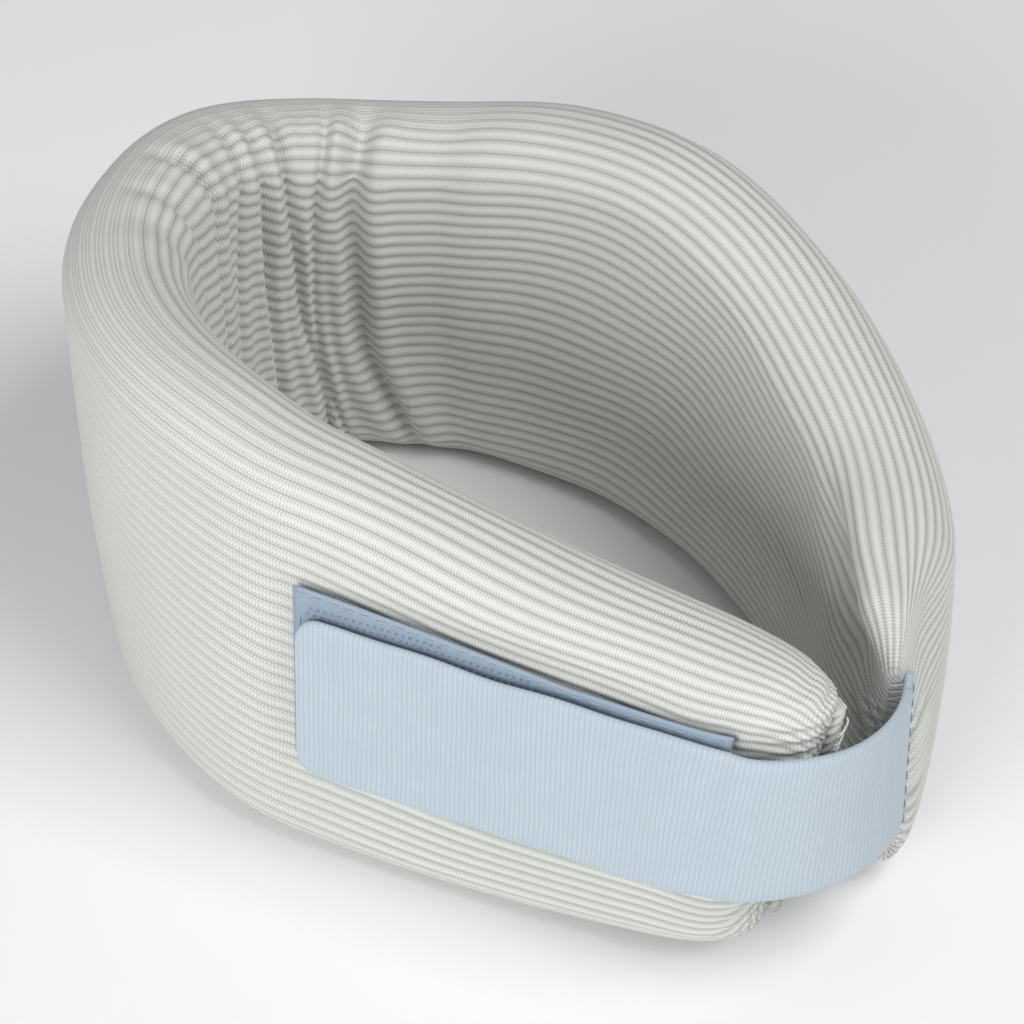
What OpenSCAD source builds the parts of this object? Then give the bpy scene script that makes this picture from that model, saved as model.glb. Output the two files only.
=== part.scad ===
// Soft foam cervical collar: a contoured foam slab in a knitted sleeve, bent
// round to a loop and closed by a strap that hooks on to the near wing.

/* [Foam slab] */
// Thickness of the covered slab
slab_t = 27.6; // [20:0.2:34]
// Height of the top edge at eight even stations, near end first
top_z = [75.5, 84.5, 99, 95, 85, 93.5, 78, 68]; // [65:0.5:105]
// Height of the bottom edge at the same stations
bottom_z = [6, 0, 0, 0, 0, 0, 0, 6]; // [0:1:10]
// Outward lean of the slab at six even stations, mm per mm of height
lean = [-0.045, -0.075, 0.055, 0.025, 0.053, 0.032]; // [-0.1:0.005:0.1]
// Thickness of the knitted sleeve
sleeve_t = 1.5; // [1:0.1:2.5]

/* [Loop] */
// Arc lengths: near wing, wing root, front bend, tight bend, back, far wing
arc_len = [105.5, 14, 95, 45, 121.5, 83]; // [10:0.5:140]
// How far each arc turns, in degrees, clockwise negative
arc_turn = [2.7, -17.6, -70.4, -70.4, -62.5, -34.7]; // [-80:0.1:10]
// Where along the loop the two bodies meet
flex_s = 233; // [220:1:250]

/* [Gathered ends] */
// Length over which the near end gathers to its seam
near_gather = 27; // [15:1:45]
// Length over which the far end gathers to its seam
far_gather = 37; // [15:1:50]
// Thickness of a gathered seam as a share of the slab
seam_share = 0.12; // [0.08:0.01:0.2]
// Slant of the near seam, mm along the wing per mm of height
near_slant = 0.2; // [0:0.01:0.3]
// Spacing of the closing stitches
stitch_pitch = 4; // [3:0.5:8]

/* [Hook patch] */
// Start of the patch along the wing
patch_s = 15; // [12:1:30]
// Length of the patch
patch_len = 92; // [60:1:95]
// Lowest edge of the patch
patch_z = 29.5; // [20:0.5:40]
// Width of the patch
patch_w = 42; // [30:1:45]
// Thickness of the woven tape under the hooks
tape_t = 0.9; // [0.6:0.1:1.5]
// Height of the hooks
hook_h = 0.9; // [0.5:0.1:1.5]

/* [Strap] */
// Thickness of the strap
strap_t = 1.8; // [1.2:0.1:2.5]
// Width of the strap
strap_w = 39; // [30:1:45]
// Lowest edge of the strap
strap_z = 28; // [20:0.5:40]
// Where on the wing the strap ends
strap_end_s = 105; // [80:1:110]
// Where on the wing the free tip starts to peel
peel_s = 62; // [40:1:80]
// Radius of the strap's free corners
strap_corner_r = 7; // [3:0.5:12]

/* [Hidden] */
loop_len = arc_len * [1, 1, 1, 1, 1, 1];
// Start of the centre line, placed so that the object's box is centred on Z
start = [88.78, -54.64, 179];
last_arc = len(arc_len) - 1;
mid_z = 50;             // height that leans and slants turn about
body_gap = 0.4;         // gap between the two bodies at the flex
fit_gap = 0.15;         // gap between the foam and its sleeve
lip_len = 3;            // solid cloth where a sleeve's end is sewn shut
foam_inset = 7;         // the foam stops short of each seam
lip_drop = 6;           // how far the edges dip at a seam
lip_drop_len = 14;
slant_len = 60;
settle = 0.6;           // the lower edge is pressed flat where it stands
edge_ratio = 1.15;      // height of the rounded edge to half the thickness
side_power = 0.8;       // below 1 fills the rounded section out
side_rise = 2.2;
ring_points = 24;
crowding = 1.35;        // draws the rings closer together at a gathered end
wing_rings = 34;
back_rings = 50;
thread_d = 0.8;
tape_off = 0.2;         // air under the hook patch
pile_margin = 3;        // bare tape round the hooks, for its stitches
bar_len = 2.4;
bar_t = 0.4;
patch_rings = 24;
strap_gap = 0.5;        // air between the strap and the hooks
root_len = 3;
root_gap = 0.8;         // from the strap's root to the swinging band
crossing_s = 14;        // where the strap meets the wing
root_reach = 16;        // handles of the crossing's curve
wing_reach = 13;
crossing_rings = 14;
run_rings = 12;
tip_rings = 16;

// One step of l mm along an arc that turns a degrees, from p = [x, y, heading]
function step(p, l, a) =
    abs(a) < 0.01 ? [p.x + l * cos(p.z), p.y + l * sin(p.z), p.z]
    : let (r = l / (a * PI / 180))
      [p.x + r * (sin(p.z + a) - sin(p.z)), p.y - r * (cos(p.z + a) - cos(p.z)), p.z + a];

// Place and heading s mm along the centre line
function along(s, i = 0, p = start) =
    (i == last_arc || s <= arc_len[i]) ? step(p, s, arc_turn[i] * s / arc_len[i])
    : along(s - arc_len[i], i + 1, step(p, arc_len[i], arc_turn[i]));

// A smooth curve through evenly spaced values v, at t from 0 to 1
function knot(v, i) =
    i < 0 ? 2 * v[0] - v[1] : i >= len(v) ? 2 * v[len(v) - 1] - v[len(v) - 2] : v[i];
function smooth(v, t) =
    let (x = min(max(t, 0), 1) * (len(v) - 1), i = min(floor(x), len(v) - 2), u = x - i,
         a = knot(v, i - 1), b = knot(v, i), c = knot(v, i + 1), d = knot(v, i + 2))
    0.5 * (2 * b + (c - a) * u + (2 * a - 5 * b + 4 * c - d) * u * u
           + (3 * b - a - 3 * c + d) * u * u * u);

// Quarter-ellipse rise from 0 at a seam to 1 at r mm from it
function rise(e, r) = sqrt(max(0, 1 - pow(1 - min(e / r, 1), 2)));
function seam_distance(s) = min(s, loop_len - s);
function half_t(s) =
    slab_t / 2 * (seam_share + (1 - seam_share)
                  * rise(seam_distance(s), s < loop_len / 2 ? near_gather : far_gather));
function edge_dip(s) = lip_drop * (1 - rise(seam_distance(s), lip_drop_len));
function top_at(s) = smooth(top_z, s / loop_len) - edge_dip(s);
function bottom_at(s) = smooth(bottom_z, s / loop_len) - settle + edge_dip(s);

// The point off mm outside the centre line and z mm up, leaned and slanted
function place(s, off, z) =
    let (p = along(s), o = off + smooth(lean, s / loop_len) * (z - mid_z),
         w = s < loop_len / 2 ? pow(max(0, 1 - s / slant_len), 2) * near_slant : 0,
         f = w * (mid_z - z))
    [p.x - sin(p.z) * o + cos(p.z) * f, p.y + cos(p.z) * o + sin(p.z) * f, z];

// The slab's section at s, shrunk by inset
function section(s, inset) =
    let (hw = half_t(s) - inset, h = (top_at(s) - bottom_at(s)) / 2 - inset,
         zc = (top_at(s) + bottom_at(s)) / 2, r = min(edge_ratio * hw, h))
    [for (k = [0 : ring_points - 1])
        let (a = 360 * (k + 0.5) / ring_points)
        place(s, hw * sign(cos(a)) * pow(abs(cos(a)), side_power),
              max(inset, zc + sign(sin(a)) * ((h - r) * min(1, abs(sin(a)) * side_rise)
                                              + r * abs(sin(a)))))];

// Outer side of the sleeve at half height, off mm further out
function side_point(s, off, z) = place(s, half_t(s) + off, z);

// Stations from a to b, crowded towards a
function stations(a, b, n) = [for (i = [0 : n]) a + (b - a) * pow(i / n, crowding)];

// The skin of a body through equal rings that follow the loop, with flat ends
module skin(rings) {
    m = len(rings[0]);
    last = (len(rings) - 1) * m;
    ends = [[for (k = [0 : m - 1]) k], [for (k = [0 : m - 1]) last + m - 1 - k]];
    sides = [for (i = [0 : len(rings) - 2], k = [0 : m - 1])
        let (a = i * m + k, b = i * m + (k + 1) % m)
        each [[a, a + m, b], [b, a + m, b + m]]];
    polyhedron(points = [for (r = rings) each r], faces = concat(ends, sides));
}

function reversed(v) = [for (i = [len(v) - 1 : -1 : 0]) v[i]];
function in_order(rings, a, b) = a < b ? rings : reversed(rings);

// Foam from its blunt end at a to the flex at b
module foam_core(a, b, n) {
    color("#d9d4c3")
        skin(in_order([for (s = stations(a, b, n)) section(s, sleeve_t + fit_gap)], a, b));
}

// A knitted tube, sewn shut at a and open at b
module sleeve(a, b, n) {
    inner_a = a + (a < b ? lip_len : -lip_len);
    color("#d3d6cf") skin(in_order(concat(
        [for (s = stations(a, b, n)) section(s, 0)],
        reversed([for (s = stations(inner_a, b, n)) section(s, sleeve_t)])), a, b));
}

module foam_core_wing() { foam_core(foam_inset, flex_s - body_gap / 2, wing_rings); }
module foam_core_back() { foam_core(loop_len - foam_inset, flex_s + body_gap / 2, back_rings); }
module sleeve_wing() { sleeve(0, flex_s - body_gap / 2, wing_rings); }
module sleeve_back() { sleeve(loop_len, flex_s + body_gap / 2, back_rings); }

// Closing stitches: short bars across the lip at s, left out between heights skip
module end_thread(s, reach, skip) {
    low = bottom_at(s) + stitch_pitch;
    room = top_at(s) - stitch_pitch - low;
    count = floor(room / stitch_pitch);
    a = along(s).z;
    color("#c9ccc6") for (i = [0 : count]) {
        p = place(s, 0, low + i * room / count);
        if (p.z < skip[0] || p.z > skip[1])
            translate([p.x + reach * cos(a), p.y + reach * sin(a), p.z])
                rotate([0, 90, a + 90])
                    cylinder(h = 2 * half_t(s), d = thread_d, center = true, $fn = 16);
    }
}
module near_end_thread() { end_thread(0, -thread_d / 2 - fit_gap, [0, 0]); }
module far_end_thread() {
    end_thread(loop_len, thread_d / 2 + fit_gap, [strap_z - thread_d, strap_z + strap_w + thread_d]);
}

// A leaned ribbon on the wing's outer side, t thick and off mm out from the sleeve
function ribbon_ring(s, low, high, off, t) =
    [side_point(s, off, high), side_point(s, off, low),
     side_point(s, off + t, low), side_point(s, off + t, high)];
module wing_ribbon(s0, s1, low, high, off, t, n) {
    skin([for (i = [0 : n]) ribbon_ring(s0 + (s1 - s0) * i / n, low, high, off, t)]);
}

patch_end = patch_s + patch_len;
patch_top = patch_z + patch_w;
module hook_tape() {
    color("#5f7f9f")
        wing_ribbon(patch_s, patch_end, patch_z, patch_top, tape_off, tape_t, patch_rings);
}
module hook_pile() {
    color("#52718f")
        wing_ribbon(patch_s + pile_margin, patch_end - pile_margin, patch_z + pile_margin,
                    patch_top - pile_margin, tape_off + tape_t + fit_gap, hook_h, patch_rings);
}
module tape_thread() {
    off = tape_off + tape_t + fit_gap / 3;
    in = pile_margin / 2;
    color("#6d8aa8") {
        for (s = [patch_s + in : stitch_pitch : patch_end - in - bar_len],
             z = [patch_z + in, patch_top - in])
            wing_ribbon(s, s + bar_len, z - bar_t / 2, z + bar_t / 2, off, bar_t, 1);
        for (z = [patch_z + 2 * in : stitch_pitch : patch_top - 2 * in - bar_len],
             s = [patch_s + in, patch_end - in])
            wing_ribbon(s - bar_t / 2, s + bar_t / 2, z, z + bar_len, off, bar_t, 1);
    }
}

// Strap: its inner face follows the crossing's curve, then the wing's outer side
strap_off = tape_off + tape_t + hook_h + strap_gap;
strap_top = strap_z + strap_w;
far = along(loop_len);
function from_far(f, n) =
    [far.x + f * cos(far.z) - n * sin(far.z), far.y + f * sin(far.z) + n * cos(far.z)];
band_start = from_far(fit_gap + root_len + root_gap, -strap_t / 2);
wing_dir = along(crossing_s).z;
function crossing_curve(z) =
    let (e = side_point(crossing_s, strap_off, z))
    [band_start, band_start + root_reach * [cos(far.z), sin(far.z)],
     [e.x, e.y] - wing_reach * [cos(wing_dir), sin(wing_dir)], [e.x, e.y]];
function bezier(c, u) =
    pow(1 - u, 3) * c[0] + 3 * u * pow(1 - u, 2) * c[1] + 3 * u * u * (1 - u) * c[2]
    + pow(u, 3) * c[3];
function bezier_dir(c, u) =
    let (d = pow(1 - u, 2) * (c[1] - c[0]) + 2 * u * (1 - u) * (c[2] - c[1])
             + u * u * (c[3] - c[2]))
    atan2(d.y, d.x);
function crossing_point(u, off, z) =
    let (c = crossing_curve(z), p = bezier(c, u), a = bezier_dir(c, u))
    [p.x - off * sin(a), p.y + off * cos(a), z];
function crossing_ring(u) =
    [crossing_point(u, 0, strap_top), crossing_point(u, 0, strap_z),
     crossing_point(u, strap_t, strap_z), crossing_point(u, strap_t, strap_top)];

// How far the strap's edges draw in at s, to round its free corners
function corner(s) =
    let (e = min(strap_end_s - s, strap_corner_r))
    strap_corner_r - sqrt(pow(strap_corner_r, 2) - pow(strap_corner_r - e, 2));
function run_ring(s) =
    ribbon_ring(s, strap_z + corner(s), strap_top - corner(s), strap_off, strap_t);

module strap_root() {
    color("#b3c6d9") translate(from_far(fit_gap, -strap_t / 2)) rotate(far.z)
        translate([0, 0, strap_z]) cube([root_len, strap_t, strap_w]);
}
module strap_root_thread() {
    color("#9db4cb") for (z = [strap_z + bar_t : stitch_pitch : strap_top - bar_len],
                          n = [-strap_t / 2 - fit_gap - bar_t, strap_t / 2 + fit_gap])
        translate(from_far(fit_gap + (root_len - bar_t) / 2, n)) rotate(far.z)
            translate([0, 0, z]) cube([bar_t, bar_t, bar_len]);
}
module strap_band() {
    last = peel_s - body_gap / 2;
    color("#b3c6d9") skin(concat(
        [for (i = [0 : crossing_rings]) crossing_ring(i / crossing_rings)],
        [for (i = [1 : run_rings]) run_ring(crossing_s + (last - crossing_s) * i / run_rings)]));
}
module strap_tip() {
    color("#b3c6d9") skin(reversed(
        [for (s = stations(strap_end_s - 0.01, peel_s + body_gap / 2, tip_rings)) run_ring(s)]));
}

foam_core_back();
foam_core_wing();
sleeve_back();
sleeve_wing();
far_end_thread();
near_end_thread();
hook_tape();
hook_pile();
tape_thread();
strap_root();
strap_root_thread();
strap_band();
strap_tip();
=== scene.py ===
import math
import bpy
import numpy as np
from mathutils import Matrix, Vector


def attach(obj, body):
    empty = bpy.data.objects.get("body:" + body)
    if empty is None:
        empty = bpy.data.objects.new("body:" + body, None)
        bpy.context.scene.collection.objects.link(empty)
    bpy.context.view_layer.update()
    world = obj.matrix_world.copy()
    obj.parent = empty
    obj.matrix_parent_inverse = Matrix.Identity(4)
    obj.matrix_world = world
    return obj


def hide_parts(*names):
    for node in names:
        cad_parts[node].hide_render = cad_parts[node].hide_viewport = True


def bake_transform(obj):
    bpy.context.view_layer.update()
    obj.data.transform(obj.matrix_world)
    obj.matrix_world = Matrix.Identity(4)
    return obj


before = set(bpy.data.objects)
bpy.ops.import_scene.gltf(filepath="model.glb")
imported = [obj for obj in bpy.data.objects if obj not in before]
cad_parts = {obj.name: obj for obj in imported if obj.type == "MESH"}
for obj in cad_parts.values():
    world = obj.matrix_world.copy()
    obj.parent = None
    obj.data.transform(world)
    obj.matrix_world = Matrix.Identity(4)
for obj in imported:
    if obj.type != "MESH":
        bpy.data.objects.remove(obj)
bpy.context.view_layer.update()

MM = 0.001

# ---- Camera ----------------------------------------------------------------
# A long lens that looks down on the collar from the side of its strap, so the
# loop shows its outer wing, its rim and the inside of its far wall.
azimuth = math.radians(24.8)
elevation = math.radians(42.7)
distance = 885 * MM
aim = Vector((7.6, 4.1, 45.5)) * MM
look = Vector((-math.sin(azimuth) * math.cos(elevation),
               math.cos(azimuth) * math.cos(elevation), -math.sin(elevation)))
camera_data = bpy.data.cameras.new("camera")
camera_data.lens = 152
camera_data.sensor_width = 36
camera_data.shift_x = -0.047
camera_data.shift_y = -0.022
camera = bpy.data.objects.new("camera", camera_data)
camera.location = aim - look * distance
camera.rotation_euler = look.to_track_quat("-Z", "Y").to_euler()
bpy.context.collection.objects.link(camera)
bpy.context.scene.camera = camera
bpy.context.scene.view_settings.view_transform = "Standard"

# ---- Studio ----------------------------------------------------------------
# A pale sheet under the collar, one broad soft light low in front, one about as
# strong high at the right, which lights the rims, and a weak even surround.


def linear(hex_colour):
    """sRGB hex to linear red, green, blue, alpha."""
    values = [int(hex_colour[i:i + 2], 16) / 255 for i in (1, 3, 5)]
    return tuple(v / 12.92 if v <= 0.04045 else ((v + 0.055) / 1.055) ** 2.4
                 for v in values) + (1.0,)


def add(tree, kind, settings=None, **links):
    """Add a node. settings are attributes or socket values, links are output sockets."""
    node = tree.nodes.new(kind)
    for key, value in (settings or {}).items():
        if isinstance(key, int) or key in node.inputs:
            node.inputs[key].default_value = value
        else:
            setattr(node, key, value)
    for key, socket in links.items():
        index = int(key[1:]) if key[0] == "i" and key[1:].isdigit() else key.replace("_", " ")
        tree.links.new(socket, node.inputs[index])
    return node


def new_material(name):
    """A material with only its output and its Principled shader."""
    material = bpy.data.materials.new(name)
    material.use_nodes = True
    tree = material.node_tree
    shader = tree.nodes["Principled BSDF"]
    return material, tree, shader


paper, tree, shader = new_material("matt_white_paper")
shader.inputs["Base Color"].default_value = linear("#f7f7f7")
shader.inputs["Roughness"].default_value = 0.9
shader.inputs["Specular IOR Level"].default_value = 0.1
bpy.ops.mesh.primitive_plane_add(size=6)
floor = bpy.context.object
floor.name = "floor"
floor.data.materials.append(paper)

world = bpy.data.worlds.new("surround")
world.use_nodes = True
world.node_tree.nodes["Background"].inputs["Color"].default_value = linear("#fbfcff")
world.node_tree.nodes["Background"].inputs["Strength"].default_value = 0.3
bpy.context.scene.world = world

for name, spot, size, power in (("key", (-0.1, -1.3, 0.55), 0.7, 11.2),
                                ("side", (0.8, -0.1, 1.25), 0.8, 11.6)):
    light_data = bpy.data.lights.new(name, "AREA")
    light_data.size = size
    light_data.energy = power
    light = bpy.data.objects.new(name, light_data)
    light.location = spot
    light.rotation_euler = (aim - Vector(spot)).to_track_quat("-Z", "Y").to_euler()
    bpy.context.collection.objects.link(light)

# ---- Foam core -------------------------------------------------------------
# One contoured slab of open-cell polyurethane foam, 25 mm thick, bent round to
# a loop. It is hidden in its sleeve, so it is plain and keeps well clear of
# the sleeve's folds. The shape of the loop is worked out here: its edges and its
# lean are evenly spaced along it, and its centre line is a chain of arcs.
slab_t = 27.6 * MM
top_z = np.array([75.5, 84.5, 99, 95, 85, 93.5, 78, 68]) * MM
bottom_z = np.array([6, 0, 0, 0, 0, 0, 0, 6]) * MM
lean = np.array([-0.045, -0.075, 0.055, 0.025, 0.053, 0.032])
arc_len = np.array([105.5, 14, 95, 45, 121.5, 83]) * MM
arc_turn = np.radians([2.7, -17.6, -70.4, -70.4, -62.5, -34.7])
start = (88.78 * MM, -54.64 * MM, math.radians(179))
near_gather = 27 * MM
far_gather = 37 * MM
seam_share = 0.12
near_slant = 0.2
slant_len = 60 * MM
lip_drop = 6 * MM
lip_drop_len = 14 * MM
settle = 0.6 * MM
mid_z = 50 * MM
edge_ratio = 1.15
side_power = 0.8
side_rise = 2.2

arc_end = np.cumsum(arc_len)
arc_from = arc_end - arc_len
loop_len = arc_end[-1]
arc_heading = start[2] + np.cumsum(arc_turn) - arc_turn
bend = arc_turn / arc_len
step_x = (np.sin(arc_heading + arc_turn) - np.sin(arc_heading)) / bend
step_y = -(np.cos(arc_heading + arc_turn) - np.cos(arc_heading)) / bend
arc_x = start[0] + np.cumsum(step_x) - step_x
arc_y = start[1] + np.cumsum(step_y) - step_y


def along(s):
    """Place and heading at distance s along the centre line."""
    i = np.clip(np.searchsorted(arc_end, s), 0, len(arc_len) - 1)
    t = arc_heading[i] + bend[i] * (s - arc_from[i])
    x = arc_x[i] + (np.sin(t) - np.sin(arc_heading[i])) / bend[i]
    y = arc_y[i] - (np.cos(t) - np.cos(arc_heading[i])) / bend[i]
    return x, y, t


def smooth(values, t):
    """A smooth curve through evenly spaced values, at t from 0 to 1."""
    v = np.concatenate([[2 * values[0] - values[1]], values, [2 * values[-1] - values[-2]]])
    x = np.clip(t, 0, 1) * (len(values) - 1)
    i = np.minimum(x.astype(int), len(values) - 2)
    u = x - i
    a, b, c, d = v[i], v[i + 1], v[i + 2], v[i + 3]
    return 0.5 * (2 * b + (c - a) * u + (2 * a - 5 * b + 4 * c - d) * u ** 2
                  + (3 * b - a - 3 * c + d) * u ** 3)


def rise(e, r):
    """Quarter-ellipse rise from 0 at a seam to 1 at distance r."""
    return np.sqrt(np.clip(1 - (1 - np.clip(e / r, 0, 1)) ** 2, 0, 1))


def half_t(s):
    """Half the slab's thickness, which falls off to the seams."""
    e = np.minimum(s, loop_len - s)
    r = np.where(s < loop_len / 2, near_gather, far_gather)
    return slab_t / 2 * (seam_share + (1 - seam_share) * rise(e, r))


def edges(s):
    """Heights of the bottom and top edges."""
    dip = lip_drop * (1 - rise(np.minimum(s, loop_len - s), lip_drop_len))
    t = s / loop_len
    return smooth(bottom_z, t) - settle + dip, smooth(top_z, t) - dip


def place(s, off, z):
    """The point off outside the centre line and z up, leaned and slanted."""
    x, y, t = along(s)
    o = off + smooth(lean, s / loop_len) * (z - mid_z)
    w = np.where(s < loop_len / 2, np.clip(1 - s / slant_len, 0, 1) ** 2 * near_slant, 0)
    f = w * (mid_z - z)
    return np.stack([x - np.sin(t) * o + np.cos(t) * f,
                     y + np.cos(t) * o + np.sin(t) * f, z + 0 * x], -1)


def section(s, a, inset=0.0):
    """Offset and height of the slab's surface at angle a round its section."""
    low, high = edges(s)
    hw = half_t(s) - inset
    h = (high - low) / 2 - inset
    r = np.minimum(edge_ratio * hw, h)
    c, n = np.cos(a), np.sin(a)
    off = hw * np.sign(c) * np.abs(c) ** side_power
    z = (high + low) / 2 + np.sign(n) * ((h - r) * np.minimum(1, np.abs(n) * side_rise)
                                         + r * np.abs(n))
    return off, z


def mesh_object(name, points, faces, material=None):
    """An object at the origin. Its quads are smooth and its end triangles flat."""
    mesh = bpy.data.meshes.new(name)
    mesh.from_pydata([tuple(p) for p in points], [], faces)
    mesh.polygons.foreach_set("use_smooth", [len(f) == 4 for f in faces])
    if material:
        mesh.materials.append(material)
    obj = bpy.data.objects.new(name, mesh)
    bpy.context.collection.objects.link(obj)
    return obj


def tube_faces(rows, ring):
    """Quads over rows of ring points, outward where the rows follow the loop."""
    return [(i * ring + k, (i + 1) * ring + k, (i + 1) * ring + (k + 1) % ring,
             i * ring + (k + 1) % ring)[::-1]
            for i in range(rows - 1) for k in range(ring)]


def fan(ring_start, ring, centre, outward):
    """Triangles from a ring to a centre point."""
    tris = [(ring_start + k, ring_start + (k + 1) % ring, centre) for k in range(ring)]
    return tris if outward else [t[::-1] for t in tris]


# Open-cell foam: matt and porous, so a cell pattern lifts and darkens it.
foam, tree, shader = new_material("polyurethane_foam_open_cell")
coords = add(tree, "ShaderNodeTexCoord")
cells = add(tree, "ShaderNodeTexVoronoi", {"Scale": 900.0}, Vector=coords.outputs["Object"])
tint = add(tree, "ShaderNodeMix", {"data_type": "RGBA", 6: linear("#b9b29a"), 7: linear("#ddd7c2")},
           i0=cells.outputs["Distance"])
pores = add(tree, "ShaderNodeBump", {"Strength": 0.6, "Distance": 0.0004},
            Height=cells.outputs["Distance"])
tree.links.new(tint.outputs[2], shader.inputs["Base Color"])
tree.links.new(pores.outputs[0], shader.inputs["Normal"])
shader.inputs["Roughness"].default_value = 0.95
shader.inputs["Specular IOR Level"].default_value = 0.2

foam_ring = 32
foam_inset = 6.5 * MM
foam_rows = 60
for name, body, s0, s1 in (("foam_core_wing", "near_wing", 14, 231),
                           ("foam_core_back", "collar", 235, 450)):
    s = np.linspace(s0, s1, foam_rows)[:, None] * MM
    a = np.linspace(0, 2 * np.pi, foam_ring, endpoint=False)[None, :]
    off, z = section(s, a, foam_inset)
    points = place(s + 0 * off, off, z).reshape(-1, 3)
    ends = points.reshape(foam_rows, foam_ring, 3)[[0, -1]].mean(1)
    faces = (tube_faces(foam_rows, foam_ring) + fan(0, foam_ring, len(points), False)
             + fan((foam_rows - 1) * foam_ring, foam_ring, len(points) + 1, True))
    core = mesh_object(name + "_slab", np.vstack([points, ends]), faces, foam)
    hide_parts(name)
    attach(core, body)

# ---- Knitted sleeve --------------------------------------------------------
# A tube of rib-knit cotton stockinette pulled over the foam. Its ribs run round
# the loop. It stretches over the outside of the bend, buckles into upright
# folds on the inside, and is gathered to a sewn seam at each end.
rib_count = 76
rib_depth = 0.36 * MM
rib_steps = np.array([0, 0.1, 0.28, 0.5, 0.72, 0.9])
row_gap = 2.0 * MM
ring = rib_count * len(rib_steps)
bend_from = 190 * MM
bend_to = 275 * MM
bend_rings = 111
drift_share = 0.2
fan_power = 0.6
fan_soft = 0.07
knot_z = 64 * MM
end_slim = 0.26
knot_slim = 0.5
near_draw = 2.2 * MM
slack = 0.45 * MM
pucker_gap = 2.9 * MM
pucker_depth = 0.5 * MM
crease_z = 61 * MM
crease_depth = 5 * MM
lobe_swell = 3.6 * MM
bed_depth = 0.9 * MM
floor_gap = 0.2 * MM


def ramp(x, a, b):
    """Smooth step from 0 at a to 1 at b."""
    t = np.clip((x - a) / (b - a), 0, 1)
    return t * t * (3 - 2 * t)


def wave(s, q, seed, scale):
    """Slow seamless unevenness, about -1 to 1, over the loop and round the section."""
    rng = np.random.default_rng(seed)
    total = 0
    for _ in range(7):
        turns = rng.integers(1, 5)
        total = total + np.sin(s / scale * rng.uniform(0.6, 1.7) + rng.uniform(0, 6.3)
                               + turns * 2 * np.pi * q)
    return total / 3.5


# Rows: 2 mm apart, and closer together where the ends gather
near_rows = near_gather * np.linspace(0, 1, 26)[:-1] ** 1.5
far_rows = loop_len - far_gather * np.linspace(0, 1, 30)[:-1] ** 1.5
wing_rows = np.arange(near_gather, bend_from - row_gap / 2, row_gap)
bend_rows = np.linspace(bend_from, bend_to, bend_rings)
back_rows = np.arange(bend_to + row_gap, loop_len - far_gather, row_gap)
rows = np.concatenate([near_rows, wing_rows, bend_rows, back_rows, far_rows[::-1]])
s = rows[:, None]

# Ribs share out each section's girth, wider inside the bend than outside it
fine = np.linspace(np.pi, 3 * np.pi, 721)[None, :]
fine_off, fine_z = section(s, fine)
girth = np.hypot(np.diff(fine_off), np.diff(fine_z))
inside = -np.cos((fine[:, 1:] + fine[:, :-1]) / 2)
bunch = 0.03 * ramp(rows, 100 * MM, 170 * MM)[:, None]
to_knot = ramp(28 * MM - np.minimum(s, loop_len - s), 0, 28 * MM)
share = np.cumsum(girth * (1 - bunch * inside), 1)
share = np.hstack([np.zeros((len(rows), 1)), share / share[:, -1:]])
rib_place = (np.arange(rib_count)[:, None] + rib_steps[None, :]).reshape(-1) / rib_count
drift = drift_share / rib_count * wave(s, rib_place[None, :], 4, 14 * MM)
# towards a seam the side ribs draw away from mid height to the two knots
quarter = rib_place * 4 - np.floor(rib_place * 4)
from_mid = np.where(np.floor(rib_place * 4) % 2 == 0, quarter, 1 - quarter)
drawn = (((from_mid + fan_soft) ** fan_power - fan_soft ** fan_power)
         / ((1 + fan_soft) ** fan_power - fan_soft ** fan_power))
drawn_quarter = np.where(np.floor(rib_place * 4) % 2 == 0, drawn, 1 - drawn)
drawn_place = (np.floor(rib_place * 4) + drawn_quarter) / 4
wanted = rib_place[None, :] * (1 - to_knot) + drawn_place[None, :] * to_knot
wanted = wanted + drift * (1 - to_knot)
angle = np.vstack([np.interp(w, sh, fine[0]) for w, sh in zip(wanted, share)])
off, z = section(s, angle)
# the sewn strap pulls the far end in on its outer side, most of all at the knot
to_far = loop_len - s
knot = np.exp(-((z - knot_z) / (10 * MM)) ** 2) * (1 - ramp(to_far, 8 * MM, 32 * MM))
slimmed = 1 - end_slim * (1 - ramp(to_far, 4 * MM, 48 * MM)) - knot_slim * knot
off = np.where(off > 0, off * slimmed, off)
drawn_in = s + near_draw * (1 - ramp(s, 0, 30 * MM))

# Folds inside the bend, as the cloth there has to lose length: where each crosses
# the rim, the middle and the foot of the wall, its depth and its width, all in mm
folds = ((187, 184, 187, 0.8, 3.0), (199, 195, 190, 1.4, 2.0), (212, 206.5, 200, 2.8, 1.9),
         (228, 220.5, 212, 1.9, 1.6), (236, 232.5, 235, 2.3, 1.6), (243, 242.5, 251, 2.5, 1.7),
         (256, 249.5, 254.5, 1.7, 1.3), (264, 261, 271, 3.8, 2.4), (283, 281, 285, 0.8, 5.0))
rim_z, waist_z, foot_z = 86 * MM, 64 * MM, 14 * MM
lie = (z - foot_z) / (rim_z - foot_z)
waist = (waist_z - foot_z) / (rim_z - foot_z)
on_wall = ramp(-np.cos(angle), -0.25, 0.45) * ramp(z, 0, 12 * MM)
fold_shape = 0 * z
for rim, middle, foot, depth, width in folds:
    sag = (middle - foot - (rim - foot) * waist) / (waist * (waist - 1))
    line = (foot + (rim - foot) * lie + sag * lie * (lie - 1)) * MM
    line = line + 0.8 * MM * wave(z, 0, int(rim), 9 * MM)
    d = np.abs(s - line) / (width * MM)
    valley = np.exp(-d ** 2) * (0.75 + 0.25 * wave(z, 0.3, int(rim) + 7, 13 * MM))
    shoulder = np.exp(-((d - 2.3) / 1.5) ** 2)
    fold_shape = fold_shape + depth * MM * (0.35 * shoulder - valley)
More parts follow.
